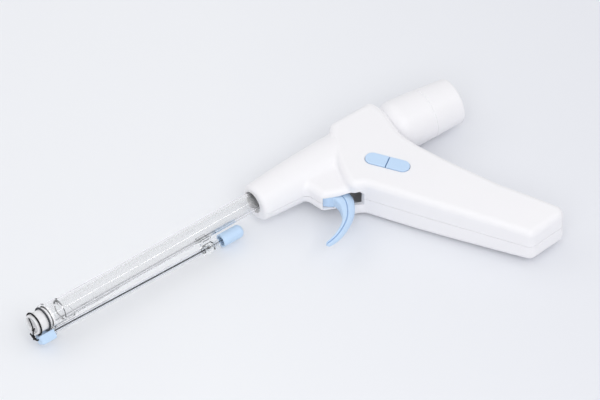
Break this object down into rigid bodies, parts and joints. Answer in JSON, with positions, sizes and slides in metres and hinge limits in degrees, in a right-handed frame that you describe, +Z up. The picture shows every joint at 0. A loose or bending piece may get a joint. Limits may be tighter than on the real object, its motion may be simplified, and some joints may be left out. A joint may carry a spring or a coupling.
{
  "type": "hemorrhoid ligator",
  "caption": "Pistol-shaped suction ligator with a curved trigger, clear barrel and drum, sliding sleeve, thread line with pull cap, split valve keys and rear chamber.",
  "frame": {"origin": "under the middle of the bounding box, at its lowest height", "axes": "+X along the barrel from the tip to the rear chamber, -Y towards the handle end, +Z up out of the side with the keys"},
  "size_m": [0.3034, 0.1394, 0.0316],
  "materials": {
    "white_abs": "satin moulded",
    "blue_abs": "satin moulded",
    "clear_plastic": "clear, glossy",
    "black_thread": "braided",
    "rubber": "matt",
    "grey_acetal": "matt moulded",
    "steel": "drawn wire"
  },
  "bodies": {
    "housing": {"upper_shell": "white_abs", "lower_shell": "white_abs", "nose_bush": "grey_acetal", "suction_tube": "clear_plastic", "ligating_drum": "clear_plastic", "mouth_thread": "black_thread", "pusher_spring": "steel", "trigger_pin": "steel", "manifold": "grey_acetal", "suction_key_spring": "steel", "vent_key_spring": "steel", "rear_chamber": "white_abs", "rear_cap": "white_abs", "cap_seal": "rubber", "spigot_seal": "rubber", "shell_screw_1": "steel", "shell_screw_2": "steel", "shell_screw_3": "steel", "shell_screw_4": "steel", "shell_screw_5": "steel"},
    "pusher": {"pusher_sleeve": "clear_plastic", "thread_block": "blue_abs", "thread_tube": "clear_plastic", "ligature_thread": "black_thread", "tube_clip": "clear_plastic", "thread_stub": "clear_plastic", "carriage": "grey_acetal", "carriage_pin": "steel"},
    "loop": {"thread_loop": "black_thread"},
    "band": {"elastic_band": "rubber"},
    "trigger": {"trigger": "blue_abs"},
    "suction_key": {"suction_key": "blue_abs", "suction_valve_seal": "rubber"},
    "vent_key": {"vent_key": "blue_abs", "vent_valve_seal": "rubber"},
    "pull_cap": {"pull_cap": "blue_abs"}
  },
  "joints": [
    {"name": "trigger_pull", "type": "hinge", "parent": "housing", "child": "trigger", "pos_m": [0.05241, 0.03146, 0.0158], "axis": [0, 0, 1], "range_deg": [0, 27], "stiffness_Nm_per_rad": 0.4, "springref_deg": -20.05},
    {"name": "pusher_slide", "type": "slide", "parent": "housing", "child": "pusher", "axis": [-1, 0, 0], "range_m": [0, 0.00793], "deforming": ["pusher_spring"]},
    {"name": "loop_slide", "type": "slide", "parent": "housing", "child": "loop", "axis": [-1, 0, 0], "range_m": [0, 0.0028]},
    {"name": "band_slide", "type": "slide", "parent": "housing", "child": "band", "axis": [-1, 0, 0], "range_m": [0, 0.00698]},
    {"name": "suction_key_press", "type": "slide", "parent": "housing", "child": "suction_key", "axis": [0, 0, -1], "range_m": [0, 0.0018], "stiffness_N_per_m": 600, "springref_m": -0.0015, "deforming": ["suction_key_spring"]},
    {"name": "vent_key_press", "type": "slide", "parent": "housing", "child": "vent_key", "axis": [0, 0, -1], "range_m": [0, 0.0018], "stiffness_N_per_m": 600, "springref_m": -0.0015, "deforming": ["vent_key_spring"]},
    {"name": "pull_cap_slide", "type": "slide", "parent": "pusher", "child": "pull_cap", "axis": [1, 0, 0], "range_m": [0, 0.006]}
  ],
  "couplings": [
    {"joint": "pusher_slide", "follows": "trigger_pull", "m_per_rad": 0.016807},
    {"joint": "loop_slide", "follows": "trigger_pull", "m_per_rad": 0.0058824},
    {"joint": "band_slide", "follows": "trigger_pull", "m_per_rad": 0.01479}
  ]
}
